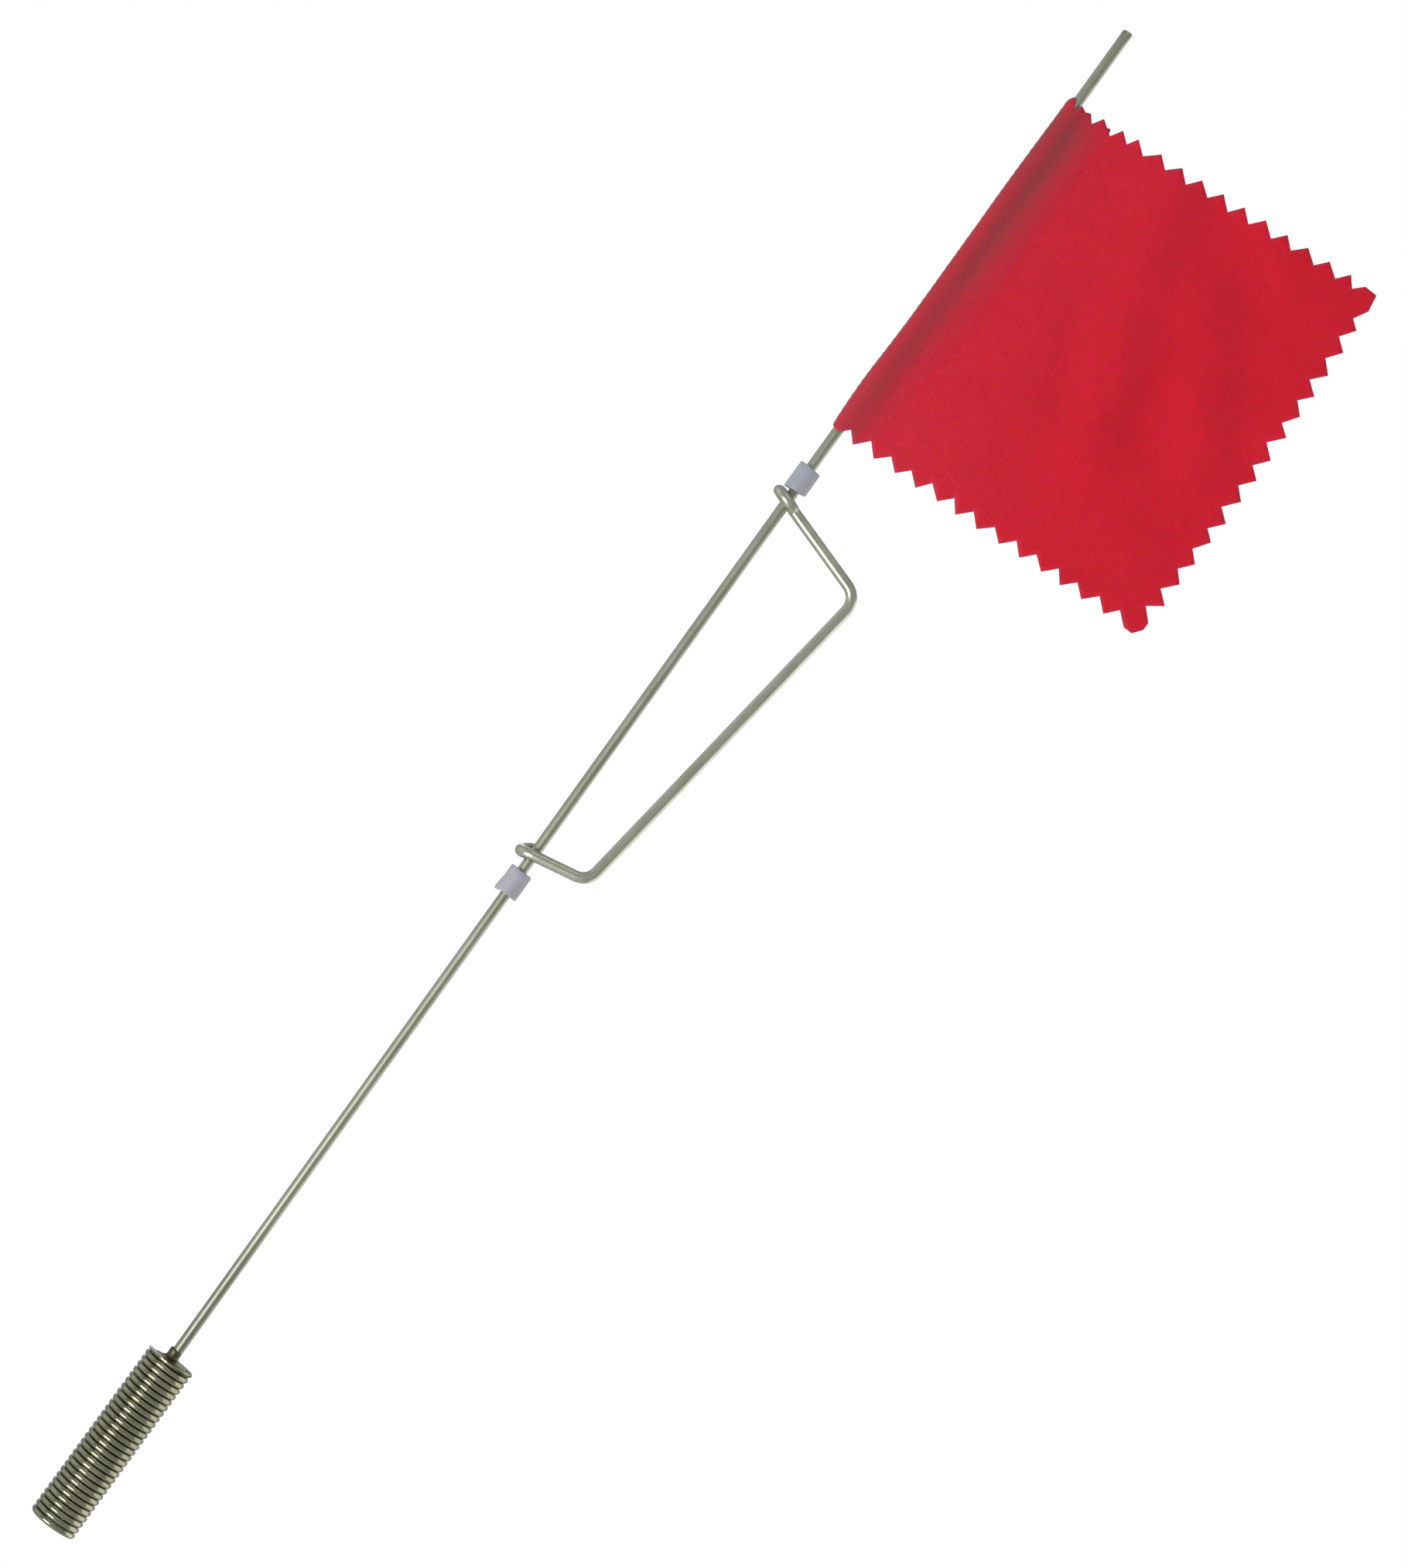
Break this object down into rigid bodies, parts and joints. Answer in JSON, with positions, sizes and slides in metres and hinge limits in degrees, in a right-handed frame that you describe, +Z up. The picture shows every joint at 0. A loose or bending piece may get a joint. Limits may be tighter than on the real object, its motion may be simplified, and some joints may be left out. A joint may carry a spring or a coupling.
{
  "type": "ice fishing tip up flag mast",
  "caption": "Wire flag mast for an ice fishing tip up: coil spring socket base, swivelling trip bail held by stop sleeves, and a pinked cloth flag.",
  "frame": {"origin": "centre of the coil spring's open lower end, where it slips on its post", "axes": "+Z up the mast from the spring to the rod's tip; the flag and the bail reach towards +X at rest"},
  "size_m": [0.0982, 0.013, 0.4572],
  "materials": {
    "spring_wire": "bright nickel plate over spring wire",
    "braze": "dull, heat-darkened filler metal",
    "mast_wire": "satin nickel plated wire",
    "stop_plastic": "milky translucent tube",
    "flag_fabric": "matte felted cotton",
    "hem_adhesive": "thin hot-melt film"
  },
  "bodies": {
    "spring_base": {"spring_grip_coils": "spring_wire"},
    "mast": {"spring_flex_coils": "spring_wire", "neck_braze": "braze", "mast_rod": "mast_wire", "flag_cloth": "flag_fabric", "hem_bond": "hem_adhesive"},
    "lower_stop": {"lower_stop_sleeve": "stop_plastic"},
    "upper_stop": {"upper_stop_sleeve": "stop_plastic"},
    "bail": {"trip_bail": "mast_wire"}
  },
  "joints": [
    {"name": "spring_bend", "type": "hinge", "parent": "spring_base", "child": "mast", "pos_m": [0, 0, 0.0385], "axis": [0, 1, 0], "range_deg": [-90, 90], "stiffness_Nm_per_rad": 0.15, "deforming": ["spring_flex_coils"]},
    {"name": "bail_swing", "type": "hinge", "parent": "mast", "child": "bail", "pos_m": [0, 0, 0.259], "axis": [0, 0, 1], "continuous": true},
    {"name": "lower_stop_slide", "type": "slide", "parent": "mast", "child": "lower_stop", "axis": [0, 0, 1], "range_m": [-0.138, 0.002]},
    {"name": "upper_stop_slide", "type": "slide", "parent": "mast", "child": "upper_stop", "axis": [0, 0, 1], "range_m": [0, 0.0108]}
  ]
}
